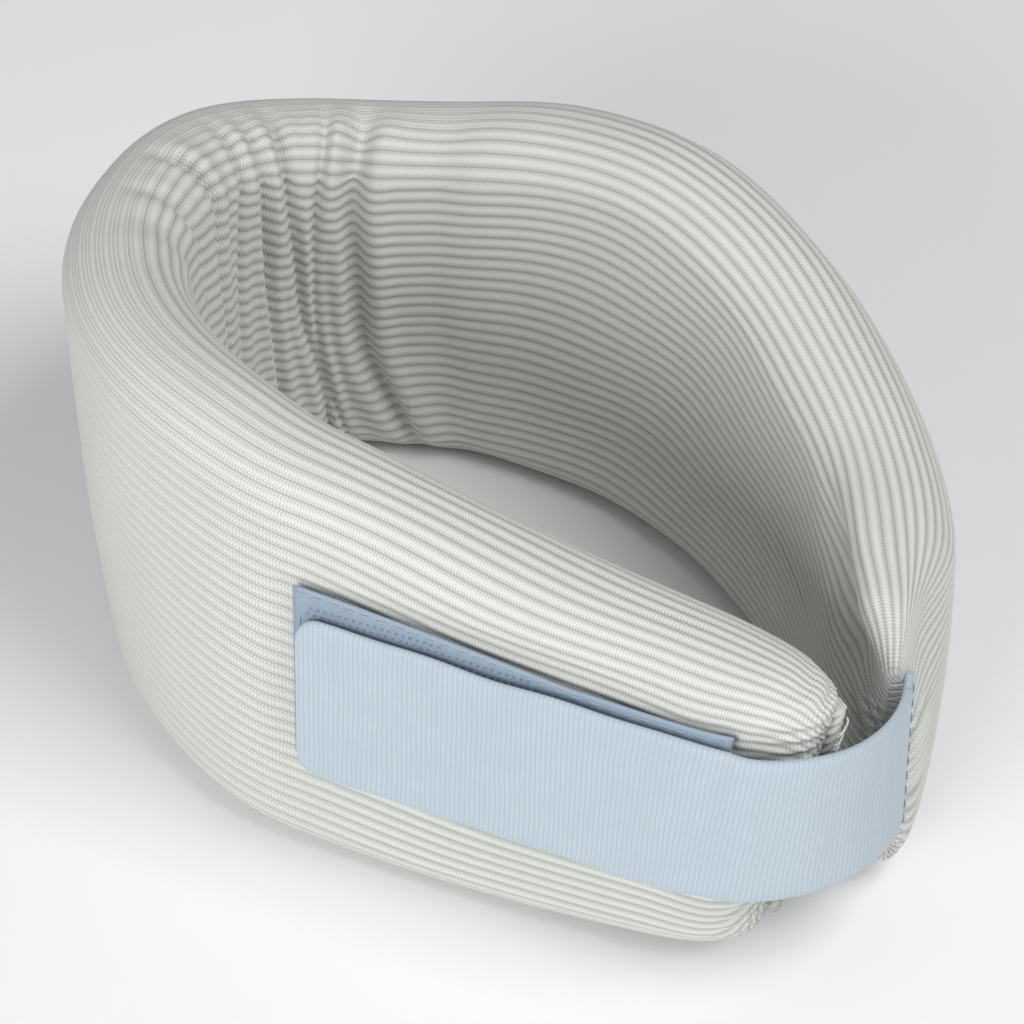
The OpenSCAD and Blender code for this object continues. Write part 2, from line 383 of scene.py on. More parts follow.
loose = slack * wave(s, rib_place[None, :], 11, 9 * MM) * ramp(s, 100 * MM, 180 * MM)
loose = loose * ramp(loop_len - s, 20 * MM, 60 * MM)
# puckers where the cloth is gathered into the seams, and a crease from the far
# knot that parts the end's inner lobe from its top
to_seam = np.minimum(s, to_far)
puckers = np.sin(2 * np.pi * z / pucker_gap + 2.5 * wave(s, rib_place[None, :], 21, 12 * MM))
puckers = pucker_depth * puckers * (1 - ramp(to_seam, 0, 12 * MM))
puckers = puckers * np.where(s > loop_len / 2, ramp(56 * MM - z, 0, 8 * MM), 1)
above = z - crease_z - 0.14 * to_far
crease = np.exp(-(above / np.where(above > 0, 2.6 * MM, 7 * MM)) ** 2)
crease = crease_depth * crease * (1 - ramp(to_far, 22 * MM, 56 * MM)) * ramp(-np.cos(angle), 0, 0.6)
crease = crease * np.minimum(1, half_t(s) / (11 * MM)) ** 2
top_lobe = lobe_swell * ramp(above, 0, 8 * MM) * ramp(to_far, 2 * MM, 14 * MM)
top_lobe = top_lobe * (1 - ramp(to_far, 26 * MM, 60 * MM)) * ramp(-np.cos(angle), -0.2, 0.5)
loose = loose + puckers - crease + top_lobe
grid = place(drawn_in + 0 * off, off, z)


def grid_normals(p):
    """Outward normals of a grid of rings."""
    down = np.gradient(p, axis=0)
    round_ = (np.roll(p, -1, 1) - np.roll(p, 1, 1))
    n = np.cross(down, round_)
    return -n / np.maximum(np.linalg.norm(n, axis=-1, keepdims=True), 1e-12)


normals = grid_normals(grid)
grid = grid + normals * (on_wall * fold_shape + loose)[..., None]

# The hook patch and the strap press a shallow bed into the wing's outer side
patch_from = 15 * MM
patch_to = 107 * MM
patch_low = 29.5 * MM
patch_high = 71.5 * MM
pressed = (ramp(s, patch_from - 4 * MM, patch_from + 2 * MM)
           * ramp(-s, -patch_to - 4 * MM, -patch_to + 1 * MM)
           * ramp(z, patch_low - 5 * MM, patch_low + 1 * MM)
           * ramp(-z, -patch_high - 3 * MM, -patch_high + 1 * MM)
           * (np.cos(angle) > 0))
normals = grid_normals(grid)
rib_x = np.mod(rib_place * rib_count, 1.0)[None, :]
rib_height = rib_depth * (0.5 - np.abs(2 * rib_x - 1) ** 1.5)
eased = ramp(s, 70 * MM, 165 * MM) * (1 - ramp(s, 275 * MM, 335 * MM))
eased = eased * ramp(np.cos(angle), -0.5, 0.1)
rib_height = rib_height * (1 - 0.5 * to_knot) * (1 - 0.7 * eased) - bed_depth * pressed
grid = grid + normals * rib_height[..., None]
grid[..., 2] = np.maximum(grid[..., 2], floor_gap)
normals = grid_normals(grid)


# Rib-knit cotton: three columns of stitches to a rib. Matt and slightly furry, so
# it has sheen; painted shade darkens the grooves between ribs and the ribs' flanks.
course = 0.6 * MM
knit, tree, shader = new_material("cotton_rib_knit")
uv = add(tree, "ShaderNodeUVMap", {"uv_map": "knit"})
split = add(tree, "ShaderNodeSeparateXYZ", Vector=uv.outputs[0])
ribs = add(tree, "ShaderNodeMath", {"operation": "MULTIPLY", 1: float(rib_count)},
           i0=split.outputs["Y"])
rib_pp = add(tree, "ShaderNodeMath", {"operation": "PINGPONG", 1: 0.5}, i0=ribs.outputs[0])
wales = add(tree, "ShaderNodeMath", {"operation": "MULTIPLY", 1: 3.0}, i0=ribs.outputs[0])
wale_v = add(tree, "ShaderNodeMath", {"operation": "PINGPONG", 1: 0.5}, i0=wales.outputs[0])
slant = add(tree, "ShaderNodeMath", {"operation": "MULTIPLY", 1: 1.1}, i0=wale_v.outputs[0])
courses = add(tree, "ShaderNodeMath", {"operation": "DIVIDE", 1: course}, i0=split.outputs["X"])
chevron = add(tree, "ShaderNodeMath", {"operation": "ADD"}, i0=courses.outputs[0],
              i1=slant.outputs[0])
loops = add(tree, "ShaderNodeMath", {"operation": "PINGPONG", 1: 0.5}, i0=chevron.outputs[0])
loop_soft = add(tree, "ShaderNodeMapRange", {"interpolation_type": "SMOOTHSTEP",
                                             1: 0.05, 2: 0.42}, Value=loops.outputs[0])
# painted shade: the grooves between ribs take a darker colour
groove_shade_mask = add(tree, "ShaderNodeMapRange", {"interpolation_type": "SMOOTHSTEP",
                                          1: 0.0, 2: 0.14}, Value=rib_pp.outputs[0])
wale_gap = add(tree, "ShaderNodeMapRange", {"interpolation_type": "SMOOTHSTEP",
                                            1: 0.05, 2: 0.4}, Value=wale_v.outputs[0])
# painted shade on the ribs' flanks next to the grooves; the crowns stay light
ridge = add(tree, "ShaderNodeMapRange", {"interpolation_type": "SMOOTHSTEP",
                                         1: 0.2, 2: 0.44}, Value=rib_pp.outputs[0])
# where the cloth is stretched over the bend its ribs open out into single columns
pulled = add(tree, "ShaderNodeAttribute", {"attribute_name": "eased"})
line = add(tree, "ShaderNodeMix", {"data_type": "FLOAT"}, i0=pulled.outputs["Fac"],
           i2=ridge.outputs[0], i3=wale_gap.outputs[0])
coords = add(tree, "ShaderNodeTexCoord")
fibre = add(tree, "ShaderNodeTexNoise", {"Scale": 1600.0, "Detail": 3.0},
            Vector=coords.outputs["Object"])
melange = add(tree, "ShaderNodeTexNoise", {"Scale": 45.0, "Detail": 4.0},
              Vector=coords.outputs["Object"])
crown = add(tree, "ShaderNodeMix", {"data_type": "RGBA", 6: linear("#dedfda"), 7: linear("#eaeae6")},
            i0=melange.outputs["Fac"])
stitch_tint = add(tree, "ShaderNodeMix", {"data_type": "RGBA", 6: linear("#cccdc8")},
                  i0=loop_soft.outputs[0], i7=crown.outputs[2])
# darker colour for the ribs' flanks (painted shade) and, where the cloth is stretched, for the gaps
# between stitch columns
flank_shade_and_wale_tint = add(tree, "ShaderNodeMix", {"data_type": "RGBA", 6: linear("#b4b6b0"),
                                        7: linear("#d2d4ce")}, i0=loop_soft.outputs[0])
line_tint = add(tree, "ShaderNodeMix", {"data_type": "RGBA"}, i0=line.outputs[0],
                i6=flank_shade_and_wale_tint.outputs[2], i7=stitch_tint.outputs[2])
# where the cloth is stretched, most of the painted groove shade fades
fading = add(tree, "ShaderNodeMath", {"operation": "MULTIPLY", 1: 0.75}, i0=pulled.outputs["Fac"])
groove_shade_left = add(tree, "ShaderNodeMath", {"operation": "MAXIMUM"}, i0=groove_shade_mask.outputs[0],
                  i1=fading.outputs[0])
# the grooves' colour is painted shade
cloth_tint = add(tree, "ShaderNodeMix", {"data_type": "RGBA", 6: linear("#a4a6a0")},
                 i0=groove_shade_left.outputs[0], i7=line_tint.outputs[2])
yarn = add(tree, "ShaderNodeMath", {"operation": "ADD"}, i0=loop_soft.outputs[0],
           i1=line.outputs[0])
fuzz = add(tree, "ShaderNodeMath", {"operation": "MULTIPLY_ADD", 1: 0.35},
           i0=fibre.outputs["Fac"], i2=yarn.outputs[0])
relief = add(tree, "ShaderNodeBump", {"Strength": 0.38, "Distance": 0.00018},
             Height=fuzz.outputs[0])
tree.links.new(cloth_tint.outputs[2], shader.inputs["Base Color"])
tree.links.new(relief.outputs[0], shader.inputs["Normal"])
shader.inputs["Roughness"].default_value = 0.92
shader.inputs["Specular IOR Level"].default_value = 0.15
shader.inputs["Sheen Weight"].default_value = 0.12
shader.inputs["Sheen Roughness"].default_value = 0.5


def knit_piece(name, first, last, sewn_start, sewn_end):
    """One length of the sleeve from row first to row last, closed at both ends. An end
    piece is tucked under its neighbour by one more row."""
    part = grid[first:last + 1].copy()
    if sewn_start:
        part[-1] -= normals[last] * 0.5 * MM
    if sewn_end:
        part[0] -= normals[first] * 0.5 * MM
    count = len(part)
    faces = tube_faces(count, ring)
    points = part.reshape(-1, 3)
    uv_rows = rows[first:last + 1]
    face_uv = [[(uv_rows[i], (k + 1) / ring), (uv_rows[i + 1], (k + 1) / ring),
                (uv_rows[i + 1], k / ring), (uv_rows[i], k / ring)]
               for i in range(count - 1) for k in range(ring)]
    extra = []
    for is_start, sewn in ((True, sewn_start), (False, sewn_end)):
        base = 0 if is_start else (count - 1) * ring
        v_row = uv_rows[0] if is_start else uv_rows[-1]
        if sewn:
            for k in range(-ring // 4, ring // 4):
                a, b = k % ring, (k + 1) % ring
                c, d = (ring // 2 - k - 1) % ring, (ring // 2 - k) % ring
                face = list(dict.fromkeys((base + a, base + b, base + c, base + d)))
                face = face[::-1] if is_start else face
                faces.append(tuple(face))
                face_uv.append([(v_row, (f - base) / ring) for f in face])
        else:
            extra.append(part[0 if is_start else -1].mean(0))
            for tri in fan(base, ring, len(points) + len(extra) - 1, not is_start):
                faces.append(tri)
                face_uv.append([(v_row, 0.0)] * 3)
    obj = mesh_object(name, np.vstack([points] + [e[None] for e in extra]), faces, knit)
    shading = np.zeros((len(obj.data.loops), 3), np.float32)
    sides = (count - 1) * ring
    corners = np.array(faces[:sides]).ravel()
    shading[:len(corners)] = normals[first:last + 1].reshape(-1, 3)[corners]
    obj.data.normals_split_custom_set(shading)
    pull = obj.data.attributes.new("eased", "FLOAT", "POINT")
    pull.data.foreach_set("value", np.concatenate([eased[first:last + 1].ravel(),
                                                   np.zeros(len(extra))]).astype(np.float32))
    layer = obj.data.uv_layers.new(name="knit")
    layer.data.foreach_set("uv", np.array([c for f in face_uv for c in f], np.float32).ravel())
    return obj


row_a = int(np.searchsorted(rows, bend_from - 1e-9))
row_b = int(np.searchsorted(rows, bend_to - 1e-9))
wing = knit_piece("sleeve_wing_knit", 0, row_a + 1, True, False)
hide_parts("sleeve_wing")
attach(wing, "near_wing")
back = knit_piece("sleeve_back_knit", row_b - 1, len(rows) - 1, False, True)
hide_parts("sleeve_back")
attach(back, "collar")
front = knit_piece("sleeve_bend_knit", row_a, row_b, False, False)
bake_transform(front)

# ---- Closing threads -------------------------------------------------------
# Each end of the sleeve is whipped shut with thick twisted cotton in the same
# pale grey green. One stitch is built and set out along both seams.


def tube(name, path, radius, sides, twist=0.0, plies=2, ply_depth=0.22):
    """A closed tube along a path of points, laid up of twisted plies."""
    path = np.array(path, float)
    way = np.gradient(path, axis=0)
    way /= np.linalg.norm(way, axis=1, keepdims=True)
    up = np.array([0.3, 0.2, 0.93])
    side = np.cross(way, up)
    side /= np.linalg.norm(side, axis=1, keepdims=True)
    other = np.cross(side, way)
    a = np.linspace(0, 2 * np.pi, sides, endpoint=False)
    turned = a[None, :] + twist * np.arange(len(path))[:, None]
    ply = 1 + ply_depth * (np.abs(np.cos(turned * plies / 2)) - 0.5)
    points = path[:, None] + radius * ply[..., None] * (
        np.cos(a)[None, :, None] * side[:, None] + np.sin(a)[None, :, None] * other[:, None])
    points = np.vstack([points.reshape(-1, 3), path[:1], path[-1:]])
    last = (len(path) - 1) * sides
    faces = (tube_faces(len(path), sides) + fan(0, sides, len(points) - 2, False)
             + fan(last, sides, len(points) - 1, True))
    return mesh_object(name, points, faces)


def repeat(name, unit, spots, facing, across, material, jitter, seed):
    """Set out a unit by Geometry Nodes: its Z to facing and its X to across."""
    base = bpy.data.objects.new(name, bpy.data.meshes.new(name))
    base.data.from_pydata([tuple(p) for p in spots], [], [])
    for key, vectors in (("facing", facing), ("across", across)):
        layer = base.data.attributes.new(key, "FLOAT_VECTOR", "POINT")
        layer.data.foreach_set("vector", np.array(vectors, np.float32).ravel())
    bpy.context.collection.objects.link(base)
    group = bpy.data.node_groups.new(name + "_layout", "GeometryNodeTree")
    face = group.interface
    face.new_socket("Geometry", in_out="INPUT", socket_type="NodeSocketGeometry")
    sockets = {}
    for label, kind in (("Unit", "NodeSocketObject"), ("Turn jitter", "NodeSocketFloat"),
                        ("Size jitter", "NodeSocketFloat"), ("Seed", "NodeSocketInt"),
                        ("Finish", "NodeSocketMaterial")):
        sockets[label] = face.new_socket(label, in_out="INPUT", socket_type=kind)
    face.new_socket("Geometry", in_out="OUTPUT", socket_type="NodeSocketGeometry")
    given = add(group, "NodeGroupInput")
    z_way = add(group, "GeometryNodeInputNamedAttribute", {"data_type": "FLOAT_VECTOR",
                                                           "Name": "facing"})
    x_way = add(group, "GeometryNodeInputNamedAttribute", {"data_type": "FLOAT_VECTOR",
                                                           "Name": "across"})
    to_z = add(group, "FunctionNodeAlignRotationToVector", {"axis": "Z"},
               Vector=z_way.outputs["Attribute"])
    to_x = add(group, "FunctionNodeAlignRotationToVector", {"axis": "X", "pivot_axis": "Z"},
               Rotation=to_z.outputs[0], Vector=x_way.outputs["Attribute"])
    minus = add(group, "ShaderNodeMath", {"operation": "MULTIPLY", 1: -1.0},
                i0=given.outputs["Turn jitter"])
    turn = add(group, "FunctionNodeRandomValue", {"data_type": "FLOAT"}, i2=minus.outputs[0],
               i3=given.outputs["Turn jitter"], Seed=given.outputs["Seed"])
    spin = add(group, "ShaderNodeCombineXYZ", Z=turn.outputs[1])
    turned = add(group, "FunctionNodeRotateRotation", {"rotation_space": "LOCAL"},
                 i0=to_x.outputs[0], i1=spin.outputs[0])
    small = add(group, "ShaderNodeMath", {"operation": "SUBTRACT", 0: 1.0},
                i1=given.outputs["Size jitter"])
    grow = add(group, "FunctionNodeRandomValue", {"data_type": "FLOAT", 3: 1.0},
               i2=small.outputs[0], Seed=given.outputs["Seed"])
    source = add(group, "GeometryNodeObjectInfo", i0=given.outputs["Unit"])
    placed = add(group, "GeometryNodeInstanceOnPoints", Points=given.outputs["Geometry"],
                 Instance=source.outputs["Geometry"], Rotation=turned.outputs[0],
                 Scale=grow.outputs[1])
    real = add(group, "GeometryNodeRealizeInstances", Geometry=placed.outputs[0])
    coat = add(group, "GeometryNodeSetMaterial", Geometry=real.outputs[0],
               Material=given.outputs["Finish"])
    add(group, "NodeGroupOutput", Geometry=coat.outputs[0])
    layout = base.modifiers.new("layout", "NODES")
    layout.node_group = group
    for label, value in (("Unit", unit), ("Turn jitter", jitter[0]), ("Size jitter", jitter[1]),
                         ("Seed", seed), ("Finish", material)):
        layout[sockets[label].identifier] = value
    bpy.context.view_layer.update()
    seen = base.evaluated_get(bpy.context.evaluated_depsgraph_get())
    made = bpy.data.meshes.new_from_object(seen)
    made.name = name
    base.modifiers.clear()
    base.data = made
    made.polygons.foreach_set("use_smooth", [True] * len(made.polygons))
    bpy.data.objects.remove(unit)
    return base


# Twisted cotton: matt, with slanting plies that a fine wave gives.
cord, tree, shader = new_material("twisted_cotton_thread")
coords = add(tree, "ShaderNodeTexCoord")
plies = add(tree, "ShaderNodeTexWave", {"Scale": 900.0, "Distortion": 1.5,
                                        "bands_direction": "DIAGONAL"},
            Vector=coords.outputs["Object"])
tint = add(tree, "ShaderNodeMix", {"data_type": "RGBA", 6: linear("#a9ada6"), 7: linear("#d9dbd5")},
           i0=plies.outputs["Fac"])
relief = add(tree, "ShaderNodeBump", {"Strength": 0.4, "Distance": 0.0001},
             Height=plies.outputs["Fac"])
tree.links.new(tint.outputs[2], shader.inputs["Base Color"])
tree.links.new(relief.outputs[0], shader.inputs["Normal"])
shader.inputs["Roughness"].default_value = 0.9

whip_t = 0.4 * MM
# Each seam's lowest and highest stitch, in mm, and how many there are
for name, body, s_end, heights in (("near_end_thread", "near_wing", 0.0, (14, 67, 32)),
                                   ("far_end_thread", "collar", loop_len, (14, 60, 28))):
    x, y, heading = along(np.array(s_end))
    way = 1 if s_end else -1
    out = np.array([math.cos(heading), math.sin(heading), 0]) * way
    half = float(half_t(np.array(s_end))) + 0.35 * MM
    bow = np.linspace(0, np.pi, 9)
    unit = tube(name + "_stitch", [(half * math.cos(b), 0.25 * MM * math.cos(b),
                                    0.7 * MM * math.sin(b)) for b in bow], whip_t / 2, 8, 0.8)
    z = np.linspace(*heights) * MM
    spots = place(np.full_like(z, s_end), 0.0, z) + out * 0.2 * MM
    count = len(spots)
    side = [-math.sin(heading), math.cos(heading), 0.12]
    whip = repeat(name + "_stitches", unit, spots, [out] * count, [side] * count, cord,
                  (0.25, 0.15), 5)
    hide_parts(name)
    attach(whip, body)

# The cloth left over at the near seam is twisted into a rope-like lip
lip_z = np.linspace(13, 70, 140) * MM
lip_path = place(np.full_like(lip_z, near_draw), -1.9 * MM, lip_z)
lip_path[:, 0] += 0.4 * MM * np.sin(lip_z / (7 * MM))
lip = tube("near_end_lip", lip_path, 1.5 * MM, 30, 0.36, 3, 0.9)
lip.data.materials.append(cord)
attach(lip, "near_wing")

# ---- Hook patch ------------------------------------------------------------
# A slate-blue woven nylon tape sewn to the wing with a line of stitches round
# its edge. It follows the wing's side. Small nylon hooks stand on all but its
# margin; the strap covers all but a sliver of it.
tape_t = 0.9 * MM
tape_off = 0.2 * MM
pile_margin = 3 * MM
hook_gap = 1.5 * MM
hook_h = 0.9 * MM
tape_count = 63
side_seam_top = 66 * MM


def on_wing(s, z, off):
    """The point off the wing's outer side at s and z, where the side curves in at the top."""
    low, high = edges(s)
    hw = half_t(s)
    r = np.minimum(edge_ratio * hw, (high - low) / 2)
    into = np.clip((z - (high - r)) / r, 0, 0.98)
    round_in = hw * (1 - (1 - into ** 2) ** (side_power / 2))
    return place(s, hw - 0.8 * round_in + off, z)


def band_mesh(name, stations, inner, outer, low, high, count, material, round_edge):
    """A closed band. inner and outer give its faces at station index and height."""
    turn = np.linspace(0, np.pi, 5)[1:-1]
    rings = []
    for i, s in enumerate(stations):
        z = np.linspace(low[i] + round_edge, high[i] - round_edge, count)
        a, b = inner(s, z), outer(s, z)
        cap = []
        for edge, sign in ((-1, 1), (0, -1)):
            mid = (a[edge] + b[edge]) / 2
            half = (b[edge] - a[edge]) / 2
            bulge = np.array([0, 0, sign * round_edge])
            cap.append([mid - half * math.cos(w) * sign + bulge * math.sin(w) for w in turn])
        rings.append(np.vstack([b, np.array(cap[0])[::-1], a[::-1], np.array(cap[1])[::-1]]))
    ring_size = len(rings[0])
    points = np.array(rings).reshape(-1, 3)
    points = np.vstack([points, rings[0].mean(0)[None], rings[-1].mean(0)[None]])
    last = (len(rings) - 1) * ring_size
    faces = (tube_faces(len(rings), ring_size) + fan(0, ring_size, len(points) - 2, False)
             + fan(last, ring_size, len(points) - 1, True))
    obj = mesh_object(name, points, faces, material)
    length = np.concatenate([[0], np.cumsum(np.linalg.norm(
        np.diff([r[count // 2] for r in rings], axis=0), axis=1))])
    layer = obj.data.uv_layers.new(name="weave")
    where = np.array([(length[min(v // ring_size, len(rings) - 1)], points[v][2])
                      for f in faces for v in f], np.float32)
    layer.data.foreach_set("uv", where.ravel())
    return obj


# Woven nylon: a fine plain weave with a slight shine, darker between threads.
woven, tree, shader = new_material("woven_nylon_slate_blue")
uv = add(tree, "ShaderNodeUVMap", {"uv_map": "weave"})
split = add(tree, "ShaderNodeSeparateXYZ", Vector=uv.outputs[0])
warp = add(tree, "ShaderNodeMath", {"operation": "MULTIPLY", 1: 2 * math.pi / (0.7 * MM)},
           i0=split.outputs["X"])
weft = add(tree, "ShaderNodeMath", {"operation": "MULTIPLY", 1: 2 * math.pi / (0.7 * MM)},
           i0=split.outputs["Y"])
warp_wave = add(tree, "ShaderNodeMath", {"operation": "SINE"}, i0=warp.outputs[0])
weft_wave = add(tree, "ShaderNodeMath", {"operation": "SINE"}, i0=weft.outputs[0])
weave = add(tree, "ShaderNodeMath", {"operation": "MULTIPLY"},
            i0=warp_wave.outputs[0], i1=weft_wave.outputs[0])
weave_fac = add(tree, "ShaderNodeMapRange", {1: -1.0, 2: 1.0}, Value=weave.outputs[0])
tint = add(tree, "ShaderNodeMix", {"data_type": "RGBA", 6: linear("#8597a8"), 7: linear("#a1b0bf")},
           i0=weave_fac.outputs[0])
relief = add(tree, "ShaderNodeBump", {"Strength": 0.5, "Distance": 0.0001},
             Height=weave_fac.outputs[0])
tree.links.new(tint.outputs[2], shader.inputs["Base Color"])
tree.links.new(relief.outputs[0], shader.inputs["Normal"])
shader.inputs["Roughness"].default_value = 0.65
shader.inputs["Sheen Weight"].default_value = 0.15

# The tape's upper edge climbs by 4.5 mm from the middle of its length onwards
stations = np.linspace(15, 104.2, tape_count) * MM
tape_top = (68 + 4.5 * np.clip((stations / MM - 47) / 57, 0, 1)) * MM
tape = band_mesh("hook_tape_weave", stations, lambda s, z: on_wing(s, z, tape_off),
                 lambda s, z: on_wing(s, z, tape_off + tape_t), [patch_low] * tape_count,
                 tape_top, 22, woven, 0.4 * MM)
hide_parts("hook_tape")
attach(tape, "near_wing")

# Nylon monofilament: smooth, a little see-through, the tape's own blue.
nylon, tree, shader = new_material("nylon_hook_monofilament")
coords = add(tree, "ShaderNodeTexCoord")
patchy = add(tree, "ShaderNodeTexNoise", {"Scale": 300.0}, Vector=coords.outputs["Object"])
tint = add(tree, "ShaderNodeMix", {"data_type": "RGBA", 6: linear("#76899c"), 7: linear("#94a6b7")},
           i0=patchy.outputs["Fac"])
tree.links.new(tint.outputs[2], shader.inputs["Base Color"])
shader.inputs["Roughness"].default_value = 0.4
shader.inputs["Transmission Weight"].default_value = 0.1

hook_path = [(0, 0, -0.1), (0, 0, 0.35), (0.04, 0, 0.6), (0.16, 0, 0.8), (0.32, 0, 0.84),
             (0.44, 0, 0.7), (0.47, 0, 0.52)]
unit = tube("hook", np.array(hook_path) * hook_h, 0.1 * MM, 5)
hook_s = np.arange(stations[0] + pile_margin, stations[-1] - pile_margin, hook_gap)
hook_z = np.arange(patch_low + pile_margin, tape_top.max() - pile_margin, hook_gap)
hs, hz = (v.ravel() for v in np.meshgrid(hook_s, hook_z))
under = hz < np.interp(hs, stations, tape_top) - pile_margin / 2
hs, hz = hs[under], hz[under]
hs = hs + np.where(np.round(hz / hook_gap) % 2 > 0, 0.3, 0.0) * hook_gap
spots = on_wing(hs, hz, tape_off + tape_t)
reach = on_wing(hs, hz, tape_off + tape_t + 1 * MM) - spots
ahead = on_wing(hs + 1 * MM, hz, tape_off + tape_t) - spots
ahead = ahead * np.where(np.round(hz / hook_gap) % 2 > 0, 1, -1)[:, None]
hooks = repeat("hook_field", unit, spots, reach, ahead, nylon, (0.35, 0.12), 9)
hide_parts("hook_pile")
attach(hooks, "near_wing")

# Polyester sewing thread: thin, smooth and slightly shiny, a shade off the tape.
thread, tree, shader = new_material("polyester_thread_blue")
coords = add(tree, "ShaderNodeTexCoord")
twist = add(tree, "ShaderNodeTexWave", {"Scale": 1500.0, "bands_direction": "DIAGONAL"},
            Vector=coords.outputs["Object"])
tint = add(tree, "ShaderNodeMix", {"data_type": "RGBA", 6: linear("#8298ad"), 7: linear("#a8bbcb")},
           i0=twist.outputs["Fac"])
tree.links.new(tint.outputs[2], shader.inputs["Base Color"])
shader.inputs["Roughness"].default_value = 0.55

sew_in = pile_margin / 2
sew_gap = 3.4 * MM
bow = np.linspace(0, np.pi, 7)
unit = tube("edge_stitch", [(-1.2 * MM * math.cos(b), 0, 0.22 * MM * math.sin(b)) for b in bow],
            0.16 * MM, 6, 0.5)
s_line = np.arange(stations[0] + sew_in + 1 * MM, stations[-1] - sew_in, sew_gap)
z_line = np.arange(patch_low + 2 * sew_in + 1 * MM, side_seam_top, sew_gap)
top_line = np.interp(s_line, stations, tape_top) - 0.6 * sew_in
spots, reach, ahead = [], [], []
for line_s, line_z, ds, dz in ((s_line, patch_low + sew_in, 1, 0), (s_line, top_line, 1, 0),
                               (stations[0] + sew_in, z_line, 0, 1),
                               (stations[-1] - sew_in, z_line, 0, 1)):
    a, b = np.broadcast_arrays(line_s, line_z)
    here = on_wing(a, b, tape_off + tape_t)
    spots.append(here)
    reach.append(on_wing(a, b, tape_off + tape_t + 1 * MM) - here)
    ahead.append(on_wing(a + ds * MM, b + dz * MM, tape_off + tape_t) - here)
sewing = repeat("tape_edge_stitches", unit, np.vstack(spots), np.vstack(reach),
                np.vstack(ahead), thread, (0.08, 0.1), 12)
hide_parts("tape_thread")
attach(sewing, "near_wing")

# ---- Strap -----------------------------------------------------------------
# A pale blue webbing, brushed to a pile of small loops, 39 mm wide. It is sewn
# into the far seam, crosses the gap and lies pressed on the hooks. Its free end
# has rounded corners.
strap_t = 1.8 * MM
strap_z = 28 * MM
strap_w = 39 * MM
strap_off = 2.5 * MM
strap_end = 102.4 * MM
crossing_s = 14 * MM
corner_r = 4.5 * MM
root_len = 3 * MM
root_in = 0.15 * MM
root_out = 2.4 * MM
root_drop = 5 * MM
root_trim = 3 * MM
far_x, far_y, far_heading = (float(v) for v in along(np.array(loop_len)))
far_way = np.array([math.cos(far_heading), math.sin(far_heading), 0])
far_side = np.array([-math.sin(far_heading), math.cos(far_heading), 0])
far_point = np.array([far_x, far_y, 0])
cross_x, cross_y, cross_heading = (float(v) for v in along(np.array(crossing_s)))
cross_way = np.array([math.cos(cross_heading), math.sin(cross_heading), 0])


def strap_face(path, z, off):
    """Points on the strap at path metres from its root and heights z, off its inner face."""
    z = np.asarray(z, float)
    begin = (far_point + far_way * (root_in + root_len - 0.2 * MM)
             + far_side * (root_out - strap_t / 2))
    end = on_wing(np.full_like(z, crossing_s), z, strap_off)
    if path >= cross_len:
        s = np.full_like(z, crossing_s + path - cross_len)
        sag = 0.25 * MM * np.sin(path / (11 * MM)) * np.sin((z - strap_z) / (17 * MM))
        return on_wing(s, z, strap_off + off + sag)
    u = path / cross_len
    base = np.stack([begin[0] + 0 * z, begin[1] + 0 * z, z - root_drop], -1)
    c = (base, base + far_way * 16 * MM, end - cross_way * 13 * MM, end)
    c[2][:, 2] = c[3][:, 2] = z
    p = ((1 - u) ** 3 * c[0] + 3 * u * (1 - u) ** 2 * c[1] + 3 * u * u * (1 - u) * c[2]
         + u ** 3 * c[3])
    d = (1 - u) ** 2 * (c[1] - c[0]) + 2 * u * (1 - u) * (c[2] - c[1]) + u * u * (c[3] - c[2])
    d = d / np.linalg.norm(d[:, :2], axis=1, keepdims=True)
    return p + off * np.stack([-d[:, 1], d[:, 0], 0 * z], -1)


cross_len = 1.0
strap_mid = np.array([strap_z + strap_w / 2])
probe = np.array([strap_face(u, strap_mid, 0.0)[0] for u in np.linspace(0, 0.999, 60)])
cross_len = float(np.linalg.norm(np.diff(probe, axis=0), axis=1).sum())
strap_len = cross_len + strap_end - crossing_s

# Brushed loop webbing: fine cross ribs about 1 mm apart under a soft matt pile,
# so light spreads over it and its edges look furry.
loop_pile, tree, shader = new_material("brushed_loop_webbing_pale_blue")
uv = add(tree, "ShaderNodeUVMap", {"uv_map": "weave"})
split = add(tree, "ShaderNodeSeparateXYZ", Vector=uv.outputs[0])
coords = add(tree, "ShaderNodeTexCoord")
waver = add(tree, "ShaderNodeTexNoise", {"Scale": 90.0}, Vector=coords.outputs["Object"])
shift = add(tree, "ShaderNodeMath", {"operation": "MULTIPLY", 1: 0.9}, i0=waver.outputs["Fac"])
cross = add(tree, "ShaderNodeMath", {"operation": "MULTIPLY_ADD", 1: 1 / (1.05 * MM)},
            i0=split.outputs["X"], i2=shift.outputs[0])
cross_pp = add(tree, "ShaderNodeMath", {"operation": "PINGPONG", 1: 0.5}, i0=cross.outputs[0])
cross_rib = add(tree, "ShaderNodeMapRange", {"interpolation_type": "SMOOTHSTEP", 1: 0.0, 2: 0.35},
                Value=cross_pp.outputs[0])
pile = add(tree, "ShaderNodeTexNoise", {"Scale": 2200.0, "Detail": 4.0},
           Vector=coords.outputs["Object"])
nap = add(tree, "ShaderNodeTexNoise", {"Scale": 160.0, "Detail": 3.0},
          Vector=coords.outputs["Object"])
soft = add(tree, "ShaderNodeMix", {"data_type": "RGBA", 6: linear("#afbdc7"), 7: linear("#bbc8d1")},
           i0=nap.outputs["Fac"])
rib_tint = add(tree, "ShaderNodeMix", {"data_type": "RGBA", 6: linear("#aab8c2")},
               i0=cross_rib.outputs[0], i7=soft.outputs[2])
height = add(tree, "ShaderNodeMath", {"operation": "MULTIPLY_ADD", 1: 0.6},
             i0=pile.outputs["Fac"], i2=cross_rib.outputs[0])
